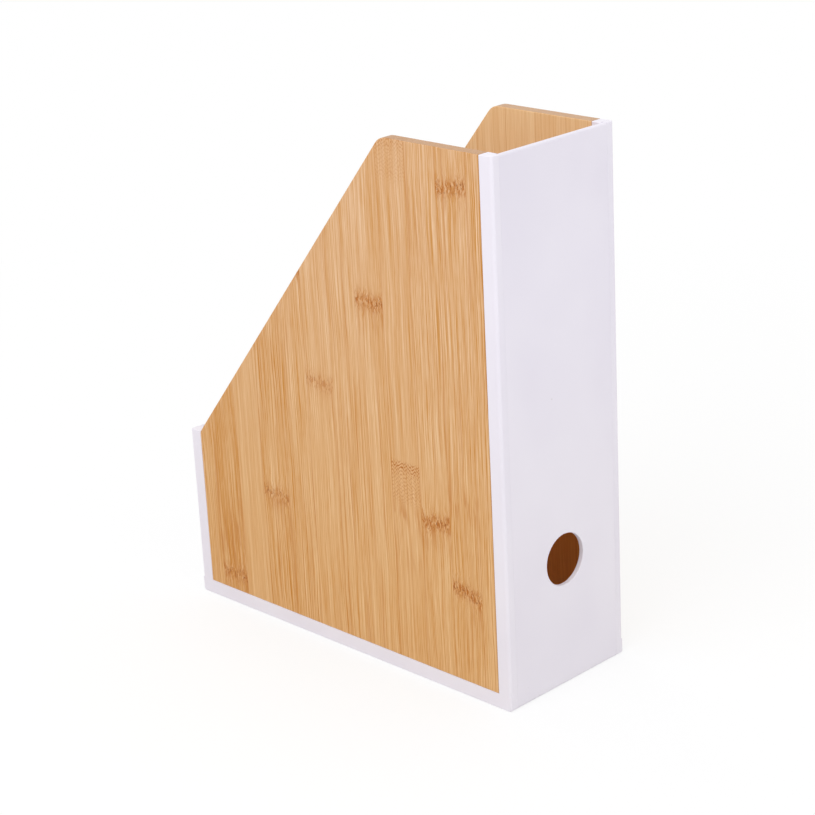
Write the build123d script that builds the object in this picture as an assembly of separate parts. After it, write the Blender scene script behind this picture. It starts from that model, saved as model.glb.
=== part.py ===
"""Magazine holder: two bamboo sides in white painted frames, joined by three thin white panels.

Each side is a board of edge-glued bamboo laths, sawn to one sloping outline. It is set into a U of
painted bars: a tall back post and a low front post that stand on the ends of a bottom rail. The bars
are as thick as the bamboo, so both faces of a side are flush, and hidden loose tongues hold the long glue
joints. A back panel with a finger hole, a low front panel and a floor panel span between the two
sides. Nothing moves.

Frame: X across, Y from the low front (-Y) to the tall back (+Y), Z up. The origin is the middle of
the footprint on the surface that the holder stands on. Sizes are in millimetres.
"""

from build123d import *
import os
from math import atan2, degrees

# Outside of the holder
width = 95.0
depth = 257.0
height = 310.0
front_height = 107.0
flat_top = 80.0

# Outline of a side
shoulder_radius = 10.0
toe_radius = 7.0
foot_radius = 2.0

# Painted bars of the frames
side_thickness = 7.5
bar_depth = 9.0
corner_radius = 2.0

# Thin painted panels
panel_thickness = 3.0
panel_lap = 2.0
panel_edge_radius = 1.2
floor_lift = 3.0

# Finger hole in the back panel
hole_diameter = 30.0
hole_height = 75.0

# Bamboo laths, from the back post forward
lath_width = 21.75
right_end_lath = 9.5
left_end_lath = 17.8
thinnest_lath = 2.0

# Loose tongues, hidden in the grooves of the glued joints
tongue_thickness = 2.0
tongue_width = 5.0
tongue_stop = 4.0
tongue_room = 0.1

# Eased arrises and fits
arris = 0.5
sole_arris = 0.8
glue_gap = 0.05

# Places worked out from the sizes above
outer_x = width / 2
inner_x = outer_x - side_thickness
panel_edge_x = inner_x + panel_lap
tongue_x = inner_x + side_thickness / 2
back_y = depth / 2
front_y = -depth / 2
board_back_y = back_y - bar_depth
board_front_y = front_y + bar_depth
board_bottom_z = bar_depth
slope_top_y = back_y - flat_top
sides = {"left": -1, "right": 1}
end_laths = {"left": left_end_lath, "right": right_end_lath}


def block(x0, x1, y0, y1, z0, z1):
    """A box between two corners, whichever way round each pair of values is."""
    sizes = (abs(x1 - x0), abs(y1 - y0), abs(z1 - z0))
    middle = ((x0 + x1) / 2, (y0 + y1) / 2, (z0 + z1) / 2)
    return Pos(*middle) * Box(*sizes)


def slab(face_sketch, hand):
    """A side-view sketch, drawn in Y and Z, given the thickness of a side on the left or the right."""
    solid = extrude(Plane.YZ * face_sketch, side_thickness)
    return Pos(inner_x if hand > 0 else -outer_x, 0, 0) * solid


def corner(sketch, x, y):
    """The vertex of a flat sketch that lies at a given place."""
    return sketch.vertices().sort_by_distance((x, y, 0))[0]


def board_outline():
    """The sloping outline of a bamboo board, with its rounded toe and shoulder."""
    outline = Polyline(
        (board_front_y, board_bottom_z),
        (board_back_y, board_bottom_z),
        (board_back_y, height),
        (slope_top_y, height),
        (board_front_y, front_height),
        close=True,
    )
    face = make_face(outline)
    face = fillet(corner(face, slope_top_y, height), shoulder_radius)
    return fillet(corner(face, board_front_y, front_height), toe_radius)


def bamboo_board(hand):
    """The whole board of one side, with the arrises of both faces eased and its edges grooved."""
    board = slab(board_outline(), hand)
    faces = board.faces().filter_by(Axis.X)
    board = fillet(faces.edges(), arris)
    for groove in grooves(hand):
        board -= groove
    return board


def lath_bounds(end_width):
    """The places of the glue lines, from the back post to the front post."""
    bounds = [board_back_y, board_back_y - end_width]
    while bounds[-1] - lath_width > board_front_y + thinnest_lath:
        bounds.append(bounds[-1] - lath_width)
    return bounds + [board_front_y]


def laths(name, hand):
    """The board of one side, parted along its glue lines into its laths."""
    board = bamboo_board(hand)
    bounds = lath_bounds(end_laths[name])
    pieces = {}
    for number, (back, front) in enumerate(zip(bounds, bounds[1:]), start=1):
        slice_box = block(hand * inner_x, hand * outer_x, back, front, 0, height)
        pieces[f"{name}_lath_{number:02d}"] = board & slice_box
    return pieces


def post(hand, face_y, way, top_z):
    """A post on the end of a rail. Its outer corner is rounded, and a rebate takes a thin panel.

    face_y is its outside face, and way points from there to the inside of the holder."""
    inside_y = face_y + way * bar_depth
    rebate_y = face_y + way * panel_thickness
    section = make_face(Polyline(
        (hand * inner_x, face_y),
        (hand * outer_x, face_y),
        (hand * outer_x, inside_y),
        (hand * inner_x, inside_y),
        close=True,
    ))
    section = fillet(corner(section, hand * outer_x, face_y), corner_radius)
    for x in (inner_x, outer_x):
        section = fillet(corner(section, hand * x, inside_y), arris)
    bar = Pos(0, 0, bar_depth) * extrude(section, top_z - bar_depth)
    bar = fillet(bar.faces().sort_by(Axis.Z)[-1].edges(), arris)
    bar -= block(hand * inner_x, hand * panel_edge_x, face_y, rebate_y, bar_depth, top_z)
    for groove in grooves(hand):
        bar -= groove
    return bar


def rail(hand):
    """The bar along the bottom of a side. It has a groove for the floor and a rebate at each end.

    Its top arrises are eased along the bamboo only, so the feet of the posts sit flush on its ends."""
    outline = make_face(Polyline(
        (front_y, 0),
        (back_y, 0),
        (back_y, bar_depth),
        (front_y, bar_depth),
        close=True,
    ))
    for y in (front_y, back_y):
        outline = fillet(corner(outline, y, 0), foot_radius)
    bar = slab(outline, hand)
    outer_face = bar.faces().sort_by(Axis.X)[-1 if hand > 0 else 0]
    long_edges = outer_face.edges().filter_by(Axis.Y).sort_by(Axis.Z)
    bar = fillet(long_edges[0], sole_arris)
    along_board = (hand * inner_x, hand * outer_x, board_front_y, board_back_y)
    seat = block(*along_board, bar_depth - 2 * arris, bar_depth)
    bar -= seat
    bar += fillet(seat.edges().filter_by(Axis.Y).group_by(Axis.Z)[-1], arris)
    groove_top = floor_lift + panel_thickness + glue_gap
    bar -= block(hand * inner_x, hand * panel_edge_x, front_y, back_y, floor_lift, groove_top)
    for face, inside in ((front_y, front_y + panel_thickness), (back_y, back_y - panel_thickness)):
        bar -= block(hand * inner_x, hand * panel_edge_x, face, inside, 0, bar_depth)
    for groove in grooves(hand):
        bar -= groove
    return bar


def upright_panel(face_y, way, top_z):
    """A thin panel that stands between the posts, with a rounded foot and rounded top edges."""
    edge_x = panel_edge_x - glue_gap
    panel = block(-edge_x, edge_x, face_y, face_y + way * panel_thickness, 0, top_z)
    across = panel.edges().filter_by(Axis.X)
    foot = across.sort_by_distance((0, face_y, 0))[0]
    panel = fillet(foot, foot_radius)
    top_edges = panel.edges().filter_by(Axis.X).group_by(Axis.Z)[-1]
    return fillet(top_edges, panel_edge_radius)


def back_panel():
    """The tall panel at the back, with the finger hole through it."""
    panel = upright_panel(back_y, -1, height)
    drill = Cylinder(hole_diameter / 2, 3 * panel_thickness, rotation=(90, 0, 0))
    panel -= Pos(0, back_y - panel_thickness / 2, hole_height) * drill
    rims = panel.edges().filter_by(GeomType.CIRCLE)
    rims = [e for e in rims if abs(e.radius - hole_diameter / 2) < arris / 2]
    return fillet(rims, arris)


def front_panel():
    """The low panel at the front."""
    return upright_panel(front_y, 1, front_height)


def floor_panel():
    """The panel that the magazines stand on, let into the grooves of both rails."""
    edge_x = panel_edge_x - glue_gap
    near_y = front_y + panel_thickness
    far_y = back_y - panel_thickness
    return block(-edge_x, edge_x, near_y, far_y, floor_lift, floor_lift + panel_thickness)


def tongue_spans():
    """Where the loose tongues of a side lie in Y and Z, by the joint that they hold.

    The one on the rail also reaches into the feet of both posts, and the upright ones start above it."""
    half = tongue_width / 2
    end_y = depth / 2 - tongue_stop
    above_rail = bar_depth + half + 2 * tongue_room
    return {
        "rail": ((-end_y, end_y), (bar_depth - half, bar_depth + half)),
        "back": ((board_back_y - half, board_back_y + half), (above_rail, height - tongue_stop)),
        "front": ((board_front_y - half, board_front_y + half), (above_rail, front_height - toe_radius)),
    }


def tongue(hand, span, room=0, gap=0):
    """A flat strip of wood in the middle of a side's thickness, or its groove when given clearances."""
    (y0, y1), (z0, z1) = span
    half = tongue_thickness / 2 + gap
    x0, x1 = hand * (tongue_x - half), hand * (tongue_x + half)
    return block(x0, x1, y0 - room, y1 + room, z0 - room, z1 + room)


def grooves(hand):
    """The grooves of one side, a little wider and longer than their tongues."""
    return [tongue(hand, span, tongue_room, glue_gap) for span in tongue_spans().values()]


def holder():
    """Every piece of the holder by its name."""
    pieces = {
        "back_panel": back_panel(),
        "front_panel": front_panel(),
        "floor_panel": floor_panel(),
    }
    for name, hand in sides.items():
        pieces[f"{name}_rail"] = rail(hand)
        pieces[f"{name}_back_post"] = post(hand, back_y, -1, height)
        pieces[f"{name}_front_post"] = post(hand, front_y, 1, front_height)
        pieces.update(laths(name, hand))
        for joint, span in tongue_spans().items():
            pieces[f"{name}_{joint}_tongue"] = tongue(hand, span)
    return pieces


os.makedirs("parts", exist_ok=True)
parts = holder()
for node, shape in parts.items():
    export_step(shape, f"parts/{node}.step")
slope = degrees(atan2(height - front_height, slope_top_y - board_front_y))
print(f"{len(parts)} pieces, slope {slope:.1f} degrees")
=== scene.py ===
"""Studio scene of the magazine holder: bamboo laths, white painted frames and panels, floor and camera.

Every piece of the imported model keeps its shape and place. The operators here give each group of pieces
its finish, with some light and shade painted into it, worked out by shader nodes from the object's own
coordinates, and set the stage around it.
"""

import math

import bpy
import numpy as np
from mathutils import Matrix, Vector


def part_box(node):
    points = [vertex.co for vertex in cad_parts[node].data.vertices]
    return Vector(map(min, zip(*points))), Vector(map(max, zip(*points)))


bl_info = {
    "name": "Magazine holder",
    "version": (1, 0, 0),
    "blender": (4, 5, 0),
    "location": "3D View > Sidebar > Holder",
    "description": "Dresses the bamboo and white magazine holder and sets its studio",
    "category": "Object",
}

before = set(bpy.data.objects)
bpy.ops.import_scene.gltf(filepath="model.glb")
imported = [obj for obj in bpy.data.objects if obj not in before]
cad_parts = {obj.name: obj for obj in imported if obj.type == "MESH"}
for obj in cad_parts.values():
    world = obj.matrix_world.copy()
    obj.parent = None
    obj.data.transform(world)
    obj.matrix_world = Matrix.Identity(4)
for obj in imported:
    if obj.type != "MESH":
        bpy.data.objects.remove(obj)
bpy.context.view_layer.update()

# Millimetres in a metre. The finishes work in millimetres.
MM = 1000.0

# Laths of each side, numbered from the back post forward. Tone is how pale a lath is, and warmth how
# strongly its amber threads show. Contrast and coarseness of the fibres are 1 where they are left out.
# The rest are marks of the culm, with heights in millimetres: a knuckle is (height, strength, tilt), a
# flame (height, half height, strength) and a ripple (top, bottom, strength).
RIGHT_LATHS = {
    1: {"tone": 0.0, "warmth": 0.05, "contrast": 1.1},
    2: {"tone": 0.05, "warmth": 0.10,
        "knuckles": [(290, 0.95, 0.10), (63, 1.0, -0.25)], "flames": [(115, 9, 0.9)]},
    3: {"tone": 0.20, "warmth": 0.10, "knuckles": [(99, 1.0, 0.12)], "flames": [(84, 8, 0.6)]},
    4: {"tone": 0.10, "warmth": -0.25, "contrast": 0.75, "coarse": 0.9,
        "ripples": [(129, 104, 1.0), (312, 286, 0.55)], "flames": [(96, 10, 1.0), (71, 10, 0.45)]},
    5: {"tone": 0.15, "warmth": 0.0, "contrast": 0.8, "coarse": 1.1, "knuckles": [(217, 1.0, 0.0)]},
    6: {"tone": 0.10, "warmth": 0.25, "contrast": 0.85, "coarse": 1.1},
    7: {"tone": 0.35, "warmth": -0.10, "contrast": 0.75, "coarse": 1.1, "knuckles": [(162, 0.5, -0.05)]},
    8: {"tone": -0.10, "warmth": 0.20, "knuckles": [(225, 0.9, 0.1)]},
    9: {"tone": -0.30, "warmth": 0.15, "knuckles": [(83, 0.65, -0.08)]},
    10: {"tone": 0.20, "warmth": -0.05, "contrast": 0.5, "coarse": 1.3},
    11: {"tone": -0.60, "warmth": 0.25, "knuckles": [(20, 0.8, 0.0)], "flames": [(42, 22, 1.0)]},
    12: {"tone": -0.20, "warmth": 0.20},
}
# The first laths of the left side, near the back, are paler than the rest: partly their own tone and partly
# painted light that brightens the inside of that side.
LEFT_LATHS = {
    1: {"tone": 1.30, "warmth": -0.40, "contrast": 0.40, "coarse": 0.8, "knuckles": [(214, 0.8, 0.1)]},
    2: {"tone": 1.15, "warmth": -0.30, "contrast": 0.50, "coarse": 0.8},
    3: {"tone": 1.40, "warmth": -0.45, "contrast": 0.45, "coarse": 0.8, "knuckles": [(66, 0.9, -0.1)]},
    4: {"tone": 1.20, "warmth": -0.35, "contrast": 0.45, "coarse": 0.8, "knuckles": [(268, 0.3, 0.05)]},
    5: {"tone": 1.15, "warmth": -0.30, "contrast": 0.55,
        "knuckles": [(150, 1.0, -0.1)], "flames": [(130, 16, 0.6)]},
    6: {"tone": 0.35, "warmth": -0.15, "contrast": 0.7,
        "ripples": [(214, 186, 0.8)], "flames": [(172, 16, 0.7)]},
    7: {"tone": -0.10, "warmth": 0.10, "knuckles": [(48, 0.7, 0.1)]},
    8: {"tone": -0.30, "warmth": 0.25},
    9: {"tone": 0.20, "warmth": -0.05, "contrast": 0.7, "knuckles": [(131, 0.9, 0.05)]},
    10: {"tone": 0.0, "warmth": 0.10},
    11: {"tone": -0.15, "warmth": 0.15, "knuckles": [(88, 0.6, -0.1)]},
    12: {"tone": 0.10, "warmth": 0.05},
}

# Each finish has a seed, a whole number, and its pattern is moved by that many of these steps, in
# millimetres, so that no two finishes are alike.
LATH_STEP = 137.0
KNUCKLE_STEP = 3.7
PAINT_STEP = 91.0

# The seeds of the left laths count on from the first of these, and those of the panels start at the second.
LEFT_LATH_SEED = 20
PANEL_SEED = 2

# The level of a fibre is 0 for honey and 1 for pale, and may go a little past both. It is the middle level
# plus a share of the lath's tone and plus noise, kept between the darkest and the palest level.
MIDDLE_LEVEL = 0.5
TONE_SHARE = 0.35
DARKEST_LEVEL = -0.35
PALEST_LEVEL = 1.3

# The share of the bamboo that amber threads hide on a lath of no warmth, and what each unit of warmth adds
AMBER_COVER = 0.45
AMBER_WARMTH = 0.6

# The most that each mark hides of the bamboo or paint under it
COVER = {
    "flame": 0.60,
    "ripple": 0.95,
    "stain": 0.60,
    "gap": 0.75,
    "tick": 0.95,
    "pit": 0.80,
    "glue": 0.40,
    "speck": 0.28,
}

# Where the painted shade towards the foot starts and ends, in millimetres above the floor: on the paint, on
# the bamboo, and deeper on the insides of the sides
PAINT_SHADE_HEIGHTS = (260.0, 20.0)
BAMBOO_SHADE_HEIGHTS = (300.0, 10.0)
INSIDE_SHADE_HEIGHTS = (200.0, 60.0)

# The studio, in metres: where the lamps stand, what they look at and how wide they are, and how far the
# floor reaches each way from the middle, with so many points along a side
LAMP_PLACES = {"side": (1.15, 0.25, 1.30), "rear": (0.1, 1.35, 1.0), "front": (-0.3, -1.35, 1.0)}
LAMP_TARGET = (0.0, 0.0, 0.15)
LAMP_SIZE = 1.2
FLOOR_REACH = 6.0
FLOOR_POINTS = 9

# In millimetres: the two distances between which the floor grows to plain white, and the sensor's width
FLOOR_WHITENS = (250.0, 900.0)
SENSOR_WIDTH = 36.0


class HolderFinish(bpy.types.PropertyGroup):
    """Colours and sizes of the holder's own finishes, and of the light and shade painted into them."""

    paint: bpy.props.FloatVectorProperty(
        name="Paint", description="White paint of the frames and panels",
        default=(0.86, 0.825, 0.905), subtype="COLOR", size=3, min=0, max=1)
    # Painted shade: this tint makes the paint darker from the top down to the foot.
    paint_foot_shade: bpy.props.FloatVectorProperty(
        name="Shaded foot", description="How the paint darkens from the top down to the foot",
        default=(0.968, 0.962, 0.935), subtype="COLOR", size=3, min=0, max=1)
    paint_speck: bpy.props.FloatVectorProperty(
        name="Paint speck", description="Colour of the rare tiny specks in the paint",
        default=(0.42, 0.36, 0.33), subtype="COLOR", size=3, min=0, max=1)
    paint_roughness: bpy.props.FloatProperty(
        name="Paint roughness", description="Satin of the paint",
        default=0.42, subtype="FACTOR", min=0, max=1)
    bamboo_pale: bpy.props.FloatVectorProperty(
        name="Pale bamboo", description="Colour between the fibres",
        default=(0.80, 0.52, 0.305), subtype="COLOR", size=3, min=0, max=1)
    bamboo_honey: bpy.props.FloatVectorProperty(
        name="Honey bamboo", description="Colour of the common fibres",
        default=(0.63, 0.305, 0.092), subtype="COLOR", size=3, min=0, max=1)
    bamboo_amber: bpy.props.FloatVectorProperty(
        name="Amber bamboo", description="Colour of the few darker orange fibres and of stains",
        default=(0.54, 0.210, 0.042), subtype="COLOR", size=3, min=0, max=1)
    # Painted shade: this tint makes the bamboo darker and deeper from the top down to the foot.
    bamboo_foot_shade: bpy.props.FloatVectorProperty(
        name="Foot tint", description="How the bamboo deepens from the top down to the foot",
        default=(0.95, 0.90, 0.71), subtype="COLOR", size=3, min=0, max=1)
    knuckle: bpy.props.FloatVectorProperty(
        name="Knuckles", description="Brown ticks where the culm had a knuckle",
        default=(0.47, 0.150, 0.016), subtype="COLOR", size=3, min=0, max=1)
    pit: bpy.props.FloatVectorProperty(
        name="Pits", description="Small dark pits among the ticks of a knuckle",
        default=(0.26, 0.070, 0.010), subtype="COLOR", size=3, min=0, max=1)
    end_grain: bpy.props.FloatVectorProperty(
        name="End grain", description="Sawn edges of the boards",
        default=(0.44, 0.265, 0.155), subtype="COLOR", size=3, min=0, max=1)
    # Painted light: this makes the insides of the sides brighter and warmer.
    inside_painted_light: bpy.props.FloatVectorProperty(
        name="Inside cast", description="Warmer cast of the insides of the sides",
        default=(1.065, 1.065, 0.93), subtype="COLOR", size=3, min=0, max=2)
    # Painted shade: this tint makes the insides of the sides darker and deeper towards the foot, deep in the
    # holder.
    inside_painted_shade: bpy.props.FloatVectorProperty(
        name="Inside tint", description="How the insides of the sides deepen towards the foot",
        default=(0.83, 0.54, 0.23), subtype="COLOR", size=3, min=0, max=1)
    varnish_roughness: bpy.props.FloatProperty(
        name="Varnish roughness", description="Matt varnish of the bamboo",
        default=0.48, subtype="FACTOR", min=0, max=1)
    fibre_width: bpy.props.FloatProperty(
        name="Fibre width", description="Width of a fine fibre", default=0.00048, unit="LENGTH")
    fibre_length: bpy.props.FloatProperty(
        name="Fibre length", description="Length of a fine fibre", default=0.060, unit="LENGTH")
    birch: bpy.props.FloatVectorProperty(
        name="Birch", description="Plain wood of the hidden tongues",
        default=(0.66, 0.48, 0.29), subtype="COLOR", size=3, min=0, max=1)


class HolderStage(bpy.types.PropertyGroup):
    """The camera, the lamps and the floor."""

    camera_place: bpy.props.FloatVectorProperty(
        name="Camera place", description="Where the camera stands",
        default=(0.84370, 0.87426, 0.57659), subtype="TRANSLATION", size=3, unit="LENGTH")
    camera_turn: bpy.props.FloatVectorProperty(
        name="Camera turn", description="How the camera is turned",
        default=tuple(math.radians(a) for a in (69.9783, 2.7816, 134.6321)), subtype="EULER", size=3)
    camera_lens: bpy.props.FloatProperty(
        name="Lens", description="Focal length on a sensor 36 mm wide", default=99.117, unit="CAMERA")
    sky: bpy.props.FloatProperty(
        name="Sky", description="Strength of the even light from all round", default=0.76, min=0)
    side: bpy.props.FloatProperty(
        name="Side lamp", description="Power of the large lamp that faces the right side",
        default=7.7, min=0, unit="POWER")
    rear: bpy.props.FloatProperty(
        name="Rear lamp", description="Power of the large lamp that faces the back panel",
        default=3.4, min=0, unit="POWER")
    front: bpy.props.FloatProperty(
        name="Front lamp", description="Power of the large lamp that looks into the open front",
        default=4.0, min=0, unit="POWER")
    floor: bpy.props.FloatVectorProperty(
        name="Floor", description="Colour of the floor as the camera sees it",
        default=(0.98, 0.98, 0.98), subtype="COLOR", size=3, min=0, max=1)
    floor_bounce: bpy.props.FloatVectorProperty(
        name="Floor bounce", description="Colour of the floor as the holder is lit by it",
        default=(0.82, 0.82, 0.83), subtype="COLOR", size=3, min=0, max=1)
    floor_white: bpy.props.FloatProperty(
        name="Floor white", description="Share of plain white in the floor beside the holder",
        default=0.76, subtype="FACTOR", min=0, max=1)


def feed(tree, node, values):
    """Sets or links a node's inputs in order. A value is a socket of another node or a number."""
    for socket, value in zip(node.inputs, values):
        if isinstance(value, bpy.types.NodeSocket):
            tree.links.new(value, socket)
        else:
            socket.default_value = value


def calc(tree, operation, *values, clamp=False):
    """One step of arithmetic on numbers or sockets."""
    node = tree.nodes.new("ShaderNodeMath")
    node.operation = operation
    node.use_clamp = clamp
    feed(tree, node, values)
    return node.outputs[0]


def product(tree, first, *others):
    """Numbers or sockets multiplied together."""
    for other in others:
        first = calc(tree, "MULTIPLY", first, other)
    return first


def swing(tree, noise, reach):
    """Noise made to swing to both sides of 0, by up to half of its reach."""
    return product(tree, calc(tree, "SUBTRACT", noise, 0.5), reach)


def ramp(tree, value, start, end, at_start=0.0, at_end=1.0):
    """A smooth step from at_start, where the value is at its start, to at_end, where it is at its end."""
    node = tree.nodes.new("ShaderNodeMapRange")
    node.interpolation_type = "SMOOTHSTEP"
    feed(tree, node, (value, start, end, at_start, at_end))
    return node.outputs[0]


def bell(tree, distance, half_width):
    """A bell curve of a distance: 1 in the middle and near 0 at twice the half width."""
    share = calc(tree, "DIVIDE", distance, half_width)
    return calc(tree, "EXPONENT", product(tree, share, share, -1.0))


def wave(tree, distance, pitch):
    """A sine of a distance that comes round once in each pitch."""
    return calc(tree, "SINE", product(tree, distance, math.tau / pitch))


def blend(tree, share, first, second, mode="MIX"):
    """Two colours mixed by a share. Each is a socket or three numbers."""
    node = tree.nodes.new("ShaderNodeMix")
    node.data_type = "RGBA"
    node.blend_type = mode
    node.clamp_factor = False
    names = {s.identifier: s for s in node.inputs}
    for key, value in (("Factor_Float", share), ("A_Color", first), ("B_Color", second)):
        if isinstance(value, bpy.types.NodeSocket):
            tree.links.new(value, names[key])
        elif isinstance(value, float):
            names[key].default_value = value
        else:
            names[key].default_value = (*value, 1.0)
    return next(s for s in node.outputs if s.identifier == "Result_Color")


def lay_over(tree, colour, mark, cover, mark_colour):
    """A colour with a mark laid over it, which hides at most the given cover of it."""
    return blend(tree, calc(tree, "MULTIPLY", mark, cover, clamp=True), colour, mark_colour)


def grain(tree, across, depth, along, width, length, detail=2.0, roughness=0.5):
    """Noise whose cells are so wide across and so long along, all in millimetres."""
    place = tree.nodes.new("ShaderNodeCombineXYZ")
    shares = ((across, width), (depth, width), (along, length))
    feed(tree, place, [calc(tree, "DIVIDE", value, size) for value, size in shares])
    node = tree.nodes.new("ShaderNodeTexNoise")
    tree.links.new(place.outputs[0], node.inputs["Vector"])
    node.inputs["Scale"].default_value = 1.0
    node.inputs["Detail"].default_value = detail
    node.inputs["Roughness"].default_value = roughness
    return node.outputs[0]


def dots(tree, point, per_mm):
    """The distance from the nearest of many scattered dots, as a share of their spacing."""
    node = tree.nodes.new("ShaderNodeTexVoronoi")
    node.inputs["Scale"].default_value = per_mm
    tree.links.new(point, node.inputs["Vector"])
    return node.outputs["Distance"]


def new_material(name):
    """An empty node material with its Principled shader, as (material, tree, shader)."""
    material = bpy.data.materials.new(name)
    material.use_nodes = True
    tree = material.node_tree
    return material, tree, tree.nodes["Principled BSDF"]


def object_millimetres(tree):
    """The object's own x, y and z in millimetres, its normal's x, y and z, and the first three as a point."""
    place = tree.nodes.new("ShaderNodeTexCoord")
    scale = tree.nodes.new("ShaderNodeVectorMath")
    scale.operation = "SCALE"
    tree.links.new(place.outputs["Object"], scale.inputs[0])
    scale.inputs["Scale"].default_value = MM
    split = tree.nodes.new("ShaderNodeSeparateXYZ")
    tree.links.new(scale.outputs[0], split.inputs[0])
    turn = tree.nodes.new("ShaderNodeSeparateXYZ")
    tree.links.new(place.outputs["Normal"], turn.inputs[0])
    return split.outputs, turn.outputs, scale.outputs[0]


def finish_shader(tree, shader, colour, noise, reach, lowest):
    """Links the colour, and a roughness that noise raises from its lowest value by up to its reach."""
    tree.links.new(colour, shader.inputs["Base Color"])
    rough = calc(tree, "ADD", product(tree, noise, reach), lowest)
    tree.links.new(rough, shader.inputs["Roughness"])


def bump(tree, shader, height, strength, distance):
    """Relief from a height in the shader's normal."""
    node = tree.nodes.new("ShaderNodeBump")
    node.inputs["Strength"].default_value = strength
    node.inputs["Distance"].default_value = distance
    tree.links.new(height, node.inputs["Height"])
    tree.links.new(node.outputs[0], shader.inputs["Normal"])


def knuckle_marks(tree, across, depth, along, offset, middle, knuckle):
    """The marks of one knuckle, as (ticks, gaps, pits, stain, sway).

    The distance from the knuckle's line is the height less the line's height, tilt and a small wander.
    Ticks are short brown cells of noise under a narrow bell of it, gaps are the pale ones between them,
    and pits are small dark ones. The stain is long cells under a wide bell that hangs below. Sway is how
    far the fibres bend."""
    height, strength, tilt = knuckle
    drop = 5.0
    curl_reach = 3.0
    halo_share = 0.55
    sway_reach = 6.0
    slant = product(tree, calc(tree, "SUBTRACT", across, middle), tilt)
    wander = swing(tree, grain(tree, across, offset, 0.0, width=4.0, length=1.0), reach=8.0)
    line = calc(tree, "ADD", calc(tree, "ADD", slant, wander), float(height))
    distance = calc(tree, "SUBTRACT", along, line)
    near = bell(tree, distance, half_width=4.6)
    below = bell(tree, calc(tree, "ADD", distance, drop), half_width=9.5)

    curl = grain(tree, across, offset, along, width=3.0, length=3.0, detail=1.0)
    curled = calc(tree, "ADD", across, product(tree, curl, curl_reach))
    cells = grain(tree, curled, depth, along, width=0.95, length=4.2, detail=1.0)
    ticks = product(tree, ramp(tree, cells, start=0.49, end=0.58), near, strength)
    gaps = product(tree, ramp(tree, cells, start=0.42, end=0.30), near, strength)
    specks = grain(tree, curled, depth, along, width=0.75, length=1.5, detail=1.0)
    speckled = bell(tree, distance, half_width=3.2)
    pits = product(tree, ramp(tree, specks, start=0.60, end=0.68), speckled, strength)

    cloud = ramp(tree, grain(tree, across, depth, along, width=2.4, length=22.0), start=0.40, end=0.66)
    halo = product(tree, near, halo_share)
    stain = product(tree, calc(tree, "ADD", product(tree, cloud, below), halo), strength)

    bend = calc(tree, "SUBTRACT", grain(tree, across, offset, along, width=4.0, length=6.0), 0.5)
    sway = product(tree, bend, bell(tree, distance, half_width=9.0), sway_reach * strength)
    return ticks, gaps, pits, stain, sway


def flame_mark(tree, across, depth, along, flame):
    """Long orange tongues of colour: drawn out cells of noise under a bell of the height."""
    height, half, strength = flame
    cells = ramp(tree, grain(tree, across, depth, along, width=2.0, length=22.0), start=0.46, end=0.60)
    zone = bell(tree, calc(tree, "SUBTRACT", along, float(height)), float(half))
    return product(tree, cells, zone, strength)


def ripple_mark(tree, across, depth, along, ripple):
    """Zigzag rows: a wave of the height, raised by a wave across the lath, strongest at the zone's top.

    Noise sways the teeth, lifts the rows and breaks them up."""
    top, bottom, strength = ripple
    sway_reach = 6.0
    lift_reach = 3.0
    tooth_height = 0.95
    crest_strength = 0.60
    zone_strength = 0.42
    sway = grain(tree, across, depth, along, width=5.0, length=9.0, detail=1.0)
    teeth = wave(tree, calc(tree, "ADD", across, product(tree, sway, sway_reach)), pitch=3.6)
    lift = grain(tree, across, depth, along, width=3.0, length=30.0, detail=1.0)
    lifted = calc(tree, "ADD", along, product(tree, lift, lift_reach))
    raised = calc(tree, "ADD", lifted, product(tree, teeth, tooth_height))
    rows = ramp(tree, wave(tree, raised, pitch=2.2), start=-0.2, end=0.7)
    crumbs = grain(tree, across, depth, along, width=1.1, length=1.1, detail=1.0)
    broken = ramp(tree, crumbs, start=0.26, end=0.50)

    above = ramp(tree, along, start=bottom - 3.0, end=bottom + 6.0)
    under = ramp(tree, along, start=top + 1.5, end=top - 1.5)
    crest = bell(tree, calc(tree, "SUBTRACT", along, top - 3.0), half_width=4.0)
    lead = calc(tree, "ADD", product(tree, crest, crest_strength), zone_strength)
    zone = product(tree, product(tree, above, under), lead)
    return product(tree, product(tree, rows, broken), zone, strength)


def bent_fibres(tree, across, depth, along, sways):
    """The place across a lath, bent by slow noise, by quicker noise and by the sway of its knuckles."""
    drift = swing(tree, grain(tree, across, depth, along, width=30.0, length=70.0), reach=3.0)
    waver = swing(tree, grain(tree, across, depth, along, width=4.0, length=22.0), reach=0.8)
    bent = across
    for shift in (drift, waver, *sways):
        bent = calc(tree, "ADD", bent, shift)
    return bent


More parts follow.
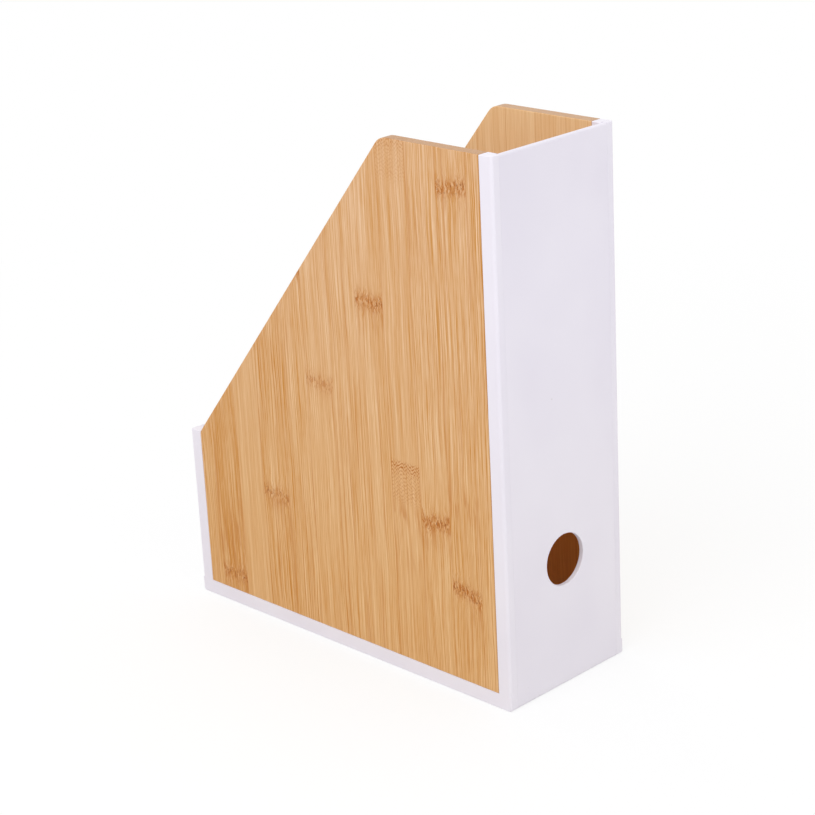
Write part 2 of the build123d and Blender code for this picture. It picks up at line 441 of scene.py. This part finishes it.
def plain_bamboo(tree, finish, bent, depth, along, looks):
    """Bamboo without its marks, as (colour, fine fibres).

    A level from honey to pale is the lath's tone plus noise drawn out along Z, in four sizes from broad
    bands to short flecks. Where one more noise is high, the bamboo has amber threads."""
    coarse = looks.get("coarse", 1.0)
    contrast = looks.get("contrast", 1.0)
    width = finish.fibre_width * MM * coarse
    length = finish.fibre_length * MM
    fibres = grain(tree, bent, depth, along, width, length, detail=1.0, roughness=0.55)
    bands = grain(tree, bent, depth, along, width=5.0, length=260.0, detail=1.0)
    strands = grain(tree, bent, depth, along, width=0.95 * coarse, length=120.0, detail=1.0)
    flecks = grain(tree, bent, depth, along, width=0.6, length=9.0, detail=1.0)
    reaches = ((bands, 0.8), (strands, 1.3 * contrast), (fibres, 3.5 * contrast), (flecks, 0.8 * contrast))
    level = MIDDLE_LEVEL + TONE_SHARE * looks["tone"]
    for noise, reach in reaches:
        level = calc(tree, "ADD", swing(tree, noise, reach), level)
    level = calc(tree, "MINIMUM", calc(tree, "MAXIMUM", level, DARKEST_LEVEL), PALEST_LEVEL)
    colour = blend(tree, level, finish.bamboo_honey, finish.bamboo_pale)

    threads = grain(tree, bent, depth, along, width=0.68 * coarse, length=110.0, detail=1.0)
    amber = ramp(tree, threads, start=0.57, end=0.68)
    cover = (AMBER_COVER + AMBER_WARMTH * looks["warmth"]) * contrast
    return lay_over(tree, colour, amber, cover, finish.bamboo_amber), fibres


def sawn_edges(tree, finish, colour, point, turn_x):
    """The colour with end grain and its amber dots where the surface turns away from the side faces."""
    off_dots = ramp(tree, dots(tree, point, per_mm=1.3), start=0.16, end=0.42)
    sawn = blend(tree, off_dots, finish.bamboo_amber, finish.end_grain)
    own_share = 0.35
    sawn = blend(tree, own_share, sawn, colour)
    face = ramp(tree, calc(tree, "ABSOLUTE", turn_x), start=0.35, end=0.85)
    return blend(tree, face, sawn, colour)


def painted_light_and_shade(tree, finish, colour, x, z, turn_x):
    """The colour multiplied by painted light and shade: painted shade towards the foot, painted warm light on
    the insides, and deeper painted shade on the insides near the foot.

    The insides are where the normal points to the middle of the holder."""
    colour = blend(tree, ramp(tree, z, *BAMBOO_SHADE_HEIGHTS), colour, finish.bamboo_foot_shade, "MULTIPLY")
    outward = product(tree, turn_x, calc(tree, "SIGN", x))
    inward = ramp(tree, outward, start=-0.3, end=-0.8)
    colour = blend(tree, inward, colour, finish.inside_painted_light, "MULTIPLY")
    deep_painted_shade = product(tree, inward, ramp(tree, z, *INSIDE_SHADE_HEIGHTS))
    return blend(tree, deep_painted_shade, colour, finish.inside_painted_shade, "MULTIPLY")


def bamboo_material(name, finish, seed, middle, half, looks):
    """The finish of one lath, whose middle and half width are given in millimetres.

    Flames, ripples and knuckles are laid over plain bamboo, and a thin darker line follows the glue at
    both edges. Ripples, ticks and pits are also sunk into the relief of the fibres."""
    material, tree, shader = new_material(name)
    (x, y, z), (turn_x, _, _), point = object_millimetres(tree)
    across = calc(tree, "ADD", y, seed * LATH_STEP)
    middle += seed * LATH_STEP
    marks = [knuckle_marks(tree, across, x, z, seed * KNUCKLE_STEP + number, middle, knuckle)
             for number, knuckle in enumerate(looks.get("knuckles", ()))]
    bent = bent_fibres(tree, across, x, z, [sway for *_, sway in marks])
    colour, fibres = plain_bamboo(tree, finish, bent, x, z, looks)

    fibre_height = 0.15
    relief = product(tree, fibres, fibre_height)
    for flame in looks.get("flames", ()):
        mark = flame_mark(tree, bent, x, z, flame)
        colour = lay_over(tree, colour, mark, COVER["flame"], finish.bamboo_amber)
    for ripple in looks.get("ripples", ()):
        mark = ripple_mark(tree, across, x, z, ripple)
        colour = lay_over(tree, colour, mark, COVER["ripple"], finish.knuckle)
        relief = calc(tree, "SUBTRACT", relief, mark)
    for ticks, gaps, pits, stain, _ in marks:
        colour = lay_over(tree, colour, stain, COVER["stain"], finish.bamboo_amber)
        colour = lay_over(tree, colour, gaps, COVER["gap"], finish.bamboo_pale)
        colour = lay_over(tree, colour, ticks, COVER["tick"], finish.knuckle)
        colour = lay_over(tree, colour, pits, COVER["pit"], finish.pit)
        relief = calc(tree, "SUBTRACT", relief, calc(tree, "MAXIMUM", ticks, pits))

    from_middle = calc(tree, "ABSOLUTE", calc(tree, "SUBTRACT", across, middle))
    glue_width = 0.45
    glue_core = 0.1
    glue = ramp(tree, from_middle, start=half - glue_width, end=half - glue_core)
    colour = lay_over(tree, colour, glue, COVER["glue"], finish.bamboo_amber)
    colour = sawn_edges(tree, finish, colour, point, turn_x)
    # Painted shade towards the foot and low on the insides, and painted warm light on the insides
    colour = painted_light_and_shade(tree, finish, colour, x, z, turn_x)
    finish_shader(tree, shader, colour, fibres, reach=0.16, lowest=finish.varnish_roughness - 0.06)
    shader.inputs["Specular IOR Level"].default_value = 0.28
    bump(tree, shader, relief, strength=0.25, distance=0.00012)
    return material


def paint_material(name, finish, seed):
    """Satin paint: a faint orange-peel relief, a slow drift of tone and roughness, painted shade towards the
    foot, and rare tiny specks.
    """
    material, tree, shader = new_material(name)
    (x, y, z), _, point = object_millimetres(tree)
    moved = calc(tree, "ADD", y, seed * PAINT_STEP)
    cloud = grain(tree, x, moved, z, width=60.0, length=90.0)
    wear = (0.955, 0.95, 0.965)
    worn = [tone * share for tone, share in zip(finish.paint, wear)]
    colour = blend(tree, ramp(tree, cloud, start=0.3, end=0.75), finish.paint, worn)
    # Painted shade: the paint grows darker towards the foot.
    colour = blend(tree, ramp(tree, z, *PAINT_SHADE_HEIGHTS), colour, finish.paint_foot_shade, "MULTIPLY")
    speck = ramp(tree, dots(tree, point, per_mm=0.045), start=0.012, end=0.03, at_start=1.0, at_end=0.0)
    colour = lay_over(tree, colour, speck, COVER["speck"], finish.paint_speck)
    finish_shader(tree, shader, colour, cloud, reach=0.10, lowest=finish.paint_roughness - 0.05)
    peel = grain(tree, x, y, z, width=1.6, length=1.6)
    fine = grain(tree, x, y, z, width=0.35, length=0.35, detail=1.0)
    fine_height = 0.25
    relief = calc(tree, "ADD", peel, product(tree, fine, fine_height))
    bump(tree, shader, relief, strength=0.10, distance=0.00010)
    return material


def birch_material(finish):
    """Plain birch of the hidden tongues, with faint upright fibres."""
    material, tree, shader = new_material("birch")
    (x, y, z), _, _ = object_millimetres(tree)
    fibres = grain(tree, x, y, z, width=0.8, length=12.0)
    shade = 0.8
    dark = [tone * shade for tone in finish.birch]
    colour = blend(tree, ramp(tree, fibres, start=0.3, end=0.7), dark, finish.birch)
    tree.links.new(colour, shader.inputs["Base Color"])
    shader.inputs["Roughness"].default_value = 0.6
    bump(tree, shader, fibres, strength=0.2, distance=0.0001)
    return material


def dress(node_name, material):
    """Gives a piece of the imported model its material, leaving its mesh as it is."""
    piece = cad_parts[node_name]
    piece.material_slots[0].material = material


def dress_laths(side, table, first_seed):
    """Gives every lath of one side a finish of its own."""
    finish = bpy.context.scene.holder_finish
    for number, looks in table.items():
        name = f"{side}_lath_{number:02d}"
        low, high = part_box(name)
        middle = (low.y + high.y) / 2 * MM
        half = (high.y - low.y) / 2 * MM
        dress(name, bamboo_material(f"bamboo_{name}", finish, first_seed + number, middle, half, looks))


class HOLDER_OT_right_laths(bpy.types.Operator):
    """Dress the bamboo laths of the right side"""

    bl_idname = "holder.right_laths"
    bl_label = "Right laths"

    def execute(self, context):
        dress_laths("right", RIGHT_LATHS, first_seed=0)
        return {"FINISHED"}


class HOLDER_OT_left_laths(bpy.types.Operator):
    """Dress the bamboo laths of the left side"""

    bl_idname = "holder.left_laths"
    bl_label = "Left laths"

    def execute(self, context):
        dress_laths("left", LEFT_LATHS, first_seed=LEFT_LATH_SEED)
        return {"FINISHED"}


class HOLDER_OT_painted_frames(bpy.types.Operator):
    """Paint the rails and posts of both sides"""

    bl_idname = "holder.painted_frames"
    bl_label = "Painted frames"

    def execute(self, context):
        finish = context.scene.holder_finish
        for seed, side in enumerate(("left", "right")):
            material = paint_material(f"paint_{side}_frame", finish, seed)
            for bar in ("rail", "back_post", "front_post"):
                dress(f"{side}_{bar}", material)
        return {"FINISHED"}


class HOLDER_OT_painted_panels(bpy.types.Operator):
    """Paint the back, front and floor panels"""

    bl_idname = "holder.painted_panels"
    bl_label = "Painted panels"

    def execute(self, context):
        finish = context.scene.holder_finish
        for seed, panel in enumerate(("back_panel", "front_panel", "floor_panel"), start=PANEL_SEED):
            dress(panel, paint_material(f"paint_{panel}", finish, seed))
        return {"FINISHED"}


class HOLDER_OT_tongues(bpy.types.Operator):
    """Give the hidden tongues their birch"""

    bl_idname = "holder.tongues"
    bl_label = "Tongues"

    def execute(self, context):
        material = birch_material(context.scene.holder_finish)
        for side in ("left", "right"):
            for joint in ("rail", "back", "front"):
                dress(f"{side}_{joint}_tongue", material)
        return {"FINISHED"}


def seen_directly(tree):
    """1 for a ray from the camera, or one that a gloss or a clear surface sends on, and 0 for the rest."""
    rays = tree.nodes.new("ShaderNodeLightPath")
    seen = calc(tree, "MAXIMUM", rays.outputs["Is Camera Ray"], rays.outputs["Is Glossy Ray"])
    return calc(tree, "MAXIMUM", seen, rays.outputs["Is Transmission Ray"])


def floor_material(settings):
    """Pale and diffuse, mixed with plain white where it is seen directly.

    The share of plain white grows to all of it away from the holder, so the background is white and the
    shadow stays."""
    material, tree, shader = new_material("studio_floor")
    (x, y, _), _, _ = object_millimetres(tree)
    seen = seen_directly(tree)
    colour = blend(tree, seen, settings.floor_bounce, settings.floor)
    tree.links.new(colour, shader.inputs["Base Color"])
    shader.inputs["Roughness"].default_value = 0.9
    shader.inputs["Specular IOR Level"].default_value = 0.0
    away = calc(tree, "SQRT", calc(tree, "ADD", product(tree, x, x), product(tree, y, y)))
    share = ramp(tree, away, *FLOOR_WHITENS, at_start=settings.floor_white)
    white = tree.nodes.new("ShaderNodeEmission")
    mix = tree.nodes.new("ShaderNodeMixShader")
    feed(tree, mix, (product(tree, seen, share), shader.outputs[0], white.outputs[0]))
    tree.links.new(mix.outputs[0], tree.nodes["Material Output"].inputs["Surface"])
    return material


def studio_floor(settings):
    """A wide flat floor: a square grid of points at the height that the holder stands on."""
    line = np.linspace(-FLOOR_REACH, FLOOR_REACH, FLOOR_POINTS)
    xs, ys = np.meshgrid(line, line, indexing="ij")
    points = np.stack([xs.ravel(), ys.ravel(), np.zeros(xs.size)], axis=1)
    index = np.arange(xs.size).reshape(xs.shape)
    faces = np.stack([index[:-1, :-1], index[1:, :-1], index[1:, 1:], index[:-1, 1:]], axis=-1)
    mesh = bpy.data.meshes.new("studio_floor")
    mesh.from_pydata(points.tolist(), [], faces.reshape(-1, 4).tolist())
    mesh.materials.append(floor_material(settings))
    floor = bpy.data.objects.new("studio_floor", mesh)
    bpy.context.scene.collection.objects.link(floor)


def studio_world(strength):
    """Even light from all round. Where it is seen directly it is plain white."""
    world = bpy.data.worlds.new("studio")
    bpy.context.scene.world = world
    world.use_nodes = True
    tree = world.node_tree
    sky = tree.nodes["Background"]
    sky.inputs["Color"].default_value = (1.0, 1.0, 1.0, 1.0)
    level = calc(tree, "ADD", product(tree, seen_directly(tree), 1.0 - strength), strength)
    tree.links.new(level, sky.inputs["Strength"])


def soft_lamp(name, power, place):
    """A square area lamp at a place, turned to look at the holder."""
    data = bpy.data.lights.new(name, "AREA")
    data.energy = power
    data.size = LAMP_SIZE
    lamp = bpy.data.objects.new(name, data)
    bpy.context.scene.collection.objects.link(lamp)
    lamp.location = place
    x, y, z = np.array(LAMP_TARGET) - np.array(place)
    lamp.rotation_euler = (math.atan2(math.hypot(x, y), -z), 0.0, math.atan2(-x, y))


def studio_camera(settings):
    """The camera at the place, turn and lens of the settings."""
    data = bpy.data.cameras.new("camera")
    data.lens = settings.camera_lens
    data.sensor_width = SENSOR_WIDTH
    camera = bpy.data.objects.new("camera", data)
    bpy.context.scene.collection.objects.link(camera)
    camera.location = settings.camera_place
    camera.rotation_euler = settings.camera_turn
    bpy.context.scene.camera = camera


class HOLDER_OT_stage(bpy.types.Operator):
    """Set the floor, the lamps and the camera"""

    bl_idname = "holder.stage"
    bl_label = "Stage"

    def execute(self, context):
        settings = context.scene.holder_stage
        context.scene.view_settings.view_transform = "Standard"
        studio_floor(settings)
        studio_world(settings.sky)
        for name, place in LAMP_PLACES.items():
            soft_lamp(name, getattr(settings, name), place)
        studio_camera(settings)
        return {"FINISHED"}


STEPS = (
    HOLDER_OT_right_laths,
    HOLDER_OT_left_laths,
    HOLDER_OT_painted_frames,
    HOLDER_OT_painted_panels,
    HOLDER_OT_tongues,
    HOLDER_OT_stage,
)


class HOLDER_PT_panel(bpy.types.Panel):
    """Lists the steps of the holder in the sidebar"""

    bl_idname = "HOLDER_PT_panel"
    bl_label = "Magazine holder"
    bl_space_type = "VIEW_3D"
    bl_region_type = "UI"
    bl_category = "Holder"

    def draw(self, context):
        for step in STEPS:
            self.layout.operator(step.bl_idname)
        for group in (context.scene.holder_finish, context.scene.holder_stage):
            for name in group.bl_rna.properties.keys():
                if name not in ("rna_type", "name"):
                    self.layout.prop(group, name)


CLASSES = (HolderFinish, HolderStage, *STEPS, HOLDER_PT_panel)


def register():
    for cls in CLASSES:
        bpy.utils.register_class(cls)
    bpy.types.Scene.holder_finish = bpy.props.PointerProperty(type=HolderFinish)
    bpy.types.Scene.holder_stage = bpy.props.PointerProperty(type=HolderStage)


def unregister():
    del bpy.types.Scene.holder_stage
    del bpy.types.Scene.holder_finish
    for cls in reversed(CLASSES):
        bpy.utils.unregister_class(cls)


def main():
    register()
    for step in STEPS:
        group, name = step.bl_idname.split(".")
        getattr(getattr(bpy.ops, group), name)()


if __name__ == "__main__":
    main()
